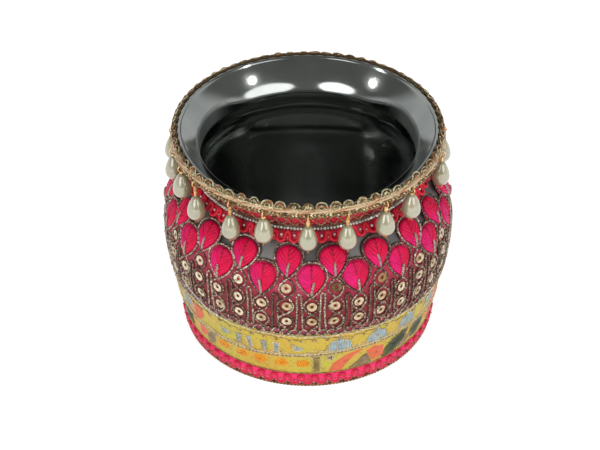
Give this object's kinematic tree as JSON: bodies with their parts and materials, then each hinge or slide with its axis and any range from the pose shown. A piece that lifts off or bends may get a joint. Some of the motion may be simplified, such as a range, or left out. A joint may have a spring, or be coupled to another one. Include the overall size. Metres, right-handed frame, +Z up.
{
  "type": "lota",
  "caption": "Small pressed-steel water pot with a flared lip, dressed with a brocade band, an embroidered net, gimp braids and swinging pearl drops.",
  "frame": {"origin": "centre of the flat base, on the surface that the pot stands on", "axes": "+Z up along the axis of the pot, -Y towards the picture's viewer, at the drop that hangs in the middle"},
  "size_m": [0.1076, 0.1076, 0.0866],
  "materials": {
    "steel": "polished stainless steel with fine spinning marks",
    "zari_braid": "old-gold metallic thread braid with scallops",
    "peach_cord": "glossy peach silk cord",
    "lattice_lace": "red ribbon under a lattice of gold thread",
    "crystal": "foil-backed cut glass cup chain",
    "pink_gimp": "hot-pink silk gimp braid",
    "net_embroidery": "maroon net with couched gold cords, sequins and pink satin-stitch petals",
    "brocade": "yellow brocade with blue, orange, coral and green motifs",
    "gold_edging": "twisted gold cord",
    "pearl": "ivory nacre coating",
    "gold_wire": "gold-coloured wire"
  },
  "bodies": {
    "pot": {"pot_shell": "steel", "base_gold_edging": "gold_edging", "base_gimp_braid": "pink_gimp", "brocade_band": "brocade", "embroidered_net": "net_embroidery", "neck_gimp_braid": "pink_gimp", "neck_crystal_chain": "crystal", "neck_lattice_lace": "lattice_lace", "rim_braid": "zari_braid", "rim_peach_cord": "peach_cord"},
    "pin_01": {"drop_pin_01": "gold_wire"},
    "pearl_01": {"drop_pearl_01": "pearl"},
    "pin_02": {"drop_pin_02": "gold_wire"},
    "pearl_02": {"drop_pearl_02": "pearl"},
    "pin_03": {"drop_pin_03": "gold_wire"},
    "pearl_03": {"drop_pearl_03": "pearl"},
    "pin_04": {"drop_pin_04": "gold_wire"},
    "pearl_04": {"drop_pearl_04": "pearl"},
    "pin_05": {"drop_pin_05": "gold_wire"},
    "pearl_05": {"drop_pearl_05": "pearl"},
    "pin_06": {"drop_pin_06": "gold_wire"},
    "pearl_06": {"drop_pearl_06": "pearl"},
    "pin_07": {"drop_pin_07": "gold_wire"},
    "pearl_07": {"drop_pearl_07": "pearl"},
    "pin_08": {"drop_pin_08": "gold_wire"},
    "pearl_08": {"drop_pearl_08": "pearl"},
    "pin_09": {"drop_pin_09": "gold_wire"},
    "pearl_09": {"drop_pearl_09": "pearl"},
    "pin_10": {"drop_pin_10": "gold_wire"},
    "pearl_10": {"drop_pearl_10": "pearl"},
    "pin_11": {"drop_pin_11": "gold_wire"},
    "pearl_11": {"drop_pearl_11": "pearl"},
    "pin_12": {"drop_pin_12": "gold_wire"},
    "pearl_12": {"drop_pearl_12": "pearl"},
    "pin_13": {"drop_pin_13": "gold_wire"},
    "pearl_13": {"drop_pearl_13": "pearl"},
    "pin_14": {"drop_pin_14": "gold_wire"},
    "pearl_14": {"drop_pearl_14": "pearl"},
    "pin_15": {"drop_pin_15": "gold_wire"},
    "pearl_15": {"drop_pearl_15": "pearl"},
    "pin_16": {"drop_pin_16": "gold_wire"},
    "pearl_16": {"drop_pearl_16": "pearl"},
    "pin_17": {"drop_pin_17": "gold_wire"},
    "pearl_17": {"drop_pearl_17": "pearl"},
    "pin_18": {"drop_pin_18": "gold_wire"},
    "pearl_18": {"drop_pearl_18": "pearl"},
    "pin_19": {"drop_pin_19": "gold_wire"},
    "pearl_19": {"drop_pearl_19": "pearl"},
    "pin_20": {"drop_pin_20": "gold_wire"},
    "pearl_20": {"drop_pearl_20": "pearl"},
    "pin_21": {"drop_pin_21": "gold_wire"},
    "pearl_21": {"drop_pearl_21": "pearl"},
    "pin_22": {"drop_pin_22": "gold_wire"},
    "pearl_22": {"drop_pearl_22": "pearl"}
  },
  "joints": [
    {"name": "swing_01", "type": "hinge", "parent": "pot", "child": "pin_01", "pos_m": [0, -0.0496, 0.0805], "axis": [-1, 0, 0], "range_deg": [-5, 120]},
    {"name": "swing_02", "type": "hinge", "parent": "pot", "child": "pin_02", "pos_m": [0.01367, -0.04768, 0.0805], "axis": [-0.9612, -0.2757, 0], "range_deg": [-5, 120]},
    {"name": "swing_03", "type": "hinge", "parent": "pot", "child": "pin_03", "pos_m": [0.02701, -0.0416, 0.0805], "axis": [-0.8387, -0.5446, 0], "range_deg": [-5, 120]},
    {"name": "swing_04", "type": "hinge", "parent": "pot", "child": "pin_04", "pos_m": [0.03629, -0.03381, 0.0805], "axis": [-0.6817, -0.7316, 0], "range_deg": [-5, 120]},
    {"name": "swing_05", "type": "hinge", "parent": "pot", "child": "pin_05", "pos_m": [0.0481, -0.0121, 0.0805], "axis": [-0.2439, -0.9698, 0], "range_deg": [-5, 120]},
    {"name": "swing_06", "type": "hinge", "parent": "pot", "child": "pin_06", "pos_m": [0.04949, 0.00334, 0.0805], "axis": [0.0674, -0.9977, 0], "range_deg": [-5, 120]},
    {"name": "swing_07", "type": "hinge", "parent": "pot", "child": "pin_07", "pos_m": [0.04665, 0.01686, 0.0805], "axis": [0.3399, -0.9405, 0], "range_deg": [-5, 120]},
    {"name": "swing_08", "type": "hinge", "parent": "pot", "child": "pin_08", "pos_m": [0.04069, 0.02837, 0.0805], "axis": [0.5719, -0.8203, 0], "range_deg": [-5, 120]},
    {"name": "swing_09", "type": "hinge", "parent": "pot", "child": "pin_09", "pos_m": [0.03129, 0.03849, 0.0805], "axis": [0.7759, -0.6308, 0], "range_deg": [-5, 120]},
    {"name": "swing_10", "type": "hinge", "parent": "pot", "child": "pin_10", "pos_m": [0.01868, 0.04595, 0.0805], "axis": [0.9264, -0.3765, 0], "range_deg": [-5, 120]},
    {"name": "swing_11", "type": "hinge", "parent": "pot", "child": "pin_11", "pos_m": [0.00613, 0.04922, 0.0805], "axis": [0.9923, -0.1237, 0], "range_deg": [-5, 120]},
    {"name": "swing_12", "type": "hinge", "parent": "pot", "child": "pin_12", "pos_m": [-0.00767, 0.049, 0.0805], "axis": [0.988, 0.1547, 0], "range_deg": [-5, 120]},
    {"name": "swing_13", "type": "hinge", "parent": "pot", "child": "pin_13", "pos_m": [-0.01932, 0.04568, 0.0805], "axis": [0.921, 0.3895, 0], "range_deg": [-5, 120]},
    {"name": "swing_14", "type": "hinge", "parent": "pot", "child": "pin_14", "pos_m": [-0.03117, 0.03858, 0.0805], "axis": [0.7779, 0.6284, 0], "range_deg": [-5, 120]},
    {"name": "swing_15", "type": "hinge", "parent": "pot", "child": "pin_15", "pos_m": [-0.04108, 0.02779, 0.0805], "axis": [0.5603, 0.8283, 0], "range_deg": [-5, 120]},
    {"name": "swing_16", "type": "hinge", "parent": "pot", "child": "pin_16", "pos_m": [-0.04688, 0.0162, 0.0805], "axis": [0.3266, 0.9452, 0], "range_deg": [-5, 120]},
    {"name": "swing_17", "type": "hinge", "parent": "pot", "child": "pin_17", "pos_m": [-0.04953, 0.00265, 0.0805], "axis": [0.0533, 0.9986, 0], "range_deg": [-5, 120]},
    {"name": "swing_18", "type": "hinge", "parent": "pot", "child": "pin_18", "pos_m": [-0.04852, -0.01028, 0.0805], "axis": [-0.2072, 0.9783, 0], "range_deg": [-5, 120]},
    {"name": "swing_19", "type": "hinge", "parent": "pot", "child": "pin_19", "pos_m": [-0.04495, -0.02096, 0.0805], "axis": [-0.4225, 0.9063, 0], "range_deg": [-5, 120]},
    {"name": "swing_20", "type": "hinge", "parent": "pot", "child": "pin_20", "pos_m": [-0.03959, -0.02988, 0.0805], "axis": [-0.6024, 0.7982, 0], "range_deg": [-5, 120]},
    {"name": "swing_21", "type": "hinge", "parent": "pot", "child": "pin_21", "pos_m": [-0.02701, -0.0416, 0.0805], "axis": [-0.8387, 0.5446, 0], "range_deg": [-5, 120]},
    {"name": "swing_22", "type": "hinge", "parent": "pot", "child": "pin_22", "pos_m": [-0.01531, -0.04718, 0.0805], "axis": [-0.9512, 0.3087, 0], "range_deg": [-5, 120]},
    {"name": "spin_01", "type": "hinge", "parent": "pin_01", "child": "pearl_01", "pos_m": [0, -0.0496, 0.0805], "axis": [0, 0, 1], "continuous": true},
    {"name": "spin_02", "type": "hinge", "parent": "pin_02", "child": "pearl_02", "pos_m": [0.01367, -0.04768, 0.0805], "axis": [0, 0, 1], "continuous": true},
    {"name": "spin_03", "type": "hinge", "parent": "pin_03", "child": "pearl_03", "pos_m": [0.02701, -0.0416, 0.0805], "axis": [0, 0, 1], "continuous": true},
    {"name": "spin_04", "type": "hinge", "parent": "pin_04", "child": "pearl_04", "pos_m": [0.03629, -0.03381, 0.0805], "axis": [0, 0, 1], "continuous": true},
    {"name": "spin_05", "type": "hinge", "parent": "pin_05", "child": "pearl_05", "pos_m": [0.0481, -0.0121, 0.0805], "axis": [0, 0, 1], "continuous": true},
    {"name": "spin_06", "type": "hinge", "parent": "pin_06", "child": "pearl_06", "pos_m": [0.04949, 0.00334, 0.0805], "axis": [0, 0, 1], "continuous": true},
    {"name": "spin_07", "type": "hinge", "parent": "pin_07", "child": "pearl_07", "pos_m": [0.04665, 0.01686, 0.0805], "axis": [0, 0, 1], "continuous": true},
    {"name": "spin_08", "type": "hinge", "parent": "pin_08", "child": "pearl_08", "pos_m": [0.04069, 0.02837, 0.0805], "axis": [0, 0, 1], "continuous": true},
    {"name": "spin_09", "type": "hinge", "parent": "pin_09", "child": "pearl_09", "pos_m": [0.03129, 0.03849, 0.0805], "axis": [0, 0, 1], "continuous": true},
    {"name": "spin_10", "type": "hinge", "parent": "pin_10", "child": "pearl_10", "pos_m": [0.01868, 0.04595, 0.0805], "axis": [0, 0, 1], "continuous": true},
    {"name": "spin_11", "type": "hinge", "parent": "pin_11", "child": "pearl_11", "pos_m": [0.00613, 0.04922, 0.0805], "axis": [0, 0, 1], "continuous": true},
    {"name": "spin_12", "type": "hinge", "parent": "pin_12", "child": "pearl_12", "pos_m": [-0.00767, 0.049, 0.0805], "axis": [0, 0, 1], "continuous": true},
    {"name": "spin_13", "type": "hinge", "parent": "pin_13", "child": "pearl_13", "pos_m": [-0.01932, 0.04568, 0.0805], "axis": [0, 0, 1], "continuous": true},
    {"name": "spin_14", "type": "hinge", "parent": "pin_14", "child": "pearl_14", "pos_m": [-0.03117, 0.03858, 0.0805], "axis": [0, 0, 1], "continuous": true},
    {"name": "spin_15", "type": "hinge", "parent": "pin_15", "child": "pearl_15", "pos_m": [-0.04108, 0.02779, 0.0805], "axis": [0, 0, 1], "continuous": true},
    {"name": "spin_16", "type": "hinge", "parent": "pin_16", "child": "pearl_16", "pos_m": [-0.04688, 0.0162, 0.0805], "axis": [0, 0, 1], "continuous": true},
    {"name": "spin_17", "type": "hinge", "parent": "pin_17", "child": "pearl_17", "pos_m": [-0.04953, 0.00265, 0.0805], "axis": [0, 0, 1], "continuous": true},
    {"name": "spin_18", "type": "hinge", "parent": "pin_18", "child": "pearl_18", "pos_m": [-0.04852, -0.01028, 0.0805], "axis": [0, 0, 1], "continuous": true},
    {"name": "spin_19", "type": "hinge", "parent": "pin_19", "child": "pearl_19", "pos_m": [-0.04495, -0.02096, 0.0805], "axis": [0, 0, 1], "continuous": true},
    {"name": "spin_20", "type": "hinge", "parent": "pin_20", "child": "pearl_20", "pos_m": [-0.03959, -0.02988, 0.0805], "axis": [0, 0, 1], "continuous": true},
    {"name": "spin_21", "type": "hinge", "parent": "pin_21", "child": "pearl_21", "pos_m": [-0.02701, -0.0416, 0.0805], "axis": [0, 0, 1], "continuous": true},
    {"name": "spin_22", "type": "hinge", "parent": "pin_22", "child": "pearl_22", "pos_m": [-0.01531, -0.04718, 0.0805], "axis": [0, 0, 1], "continuous": true}
  ]
}
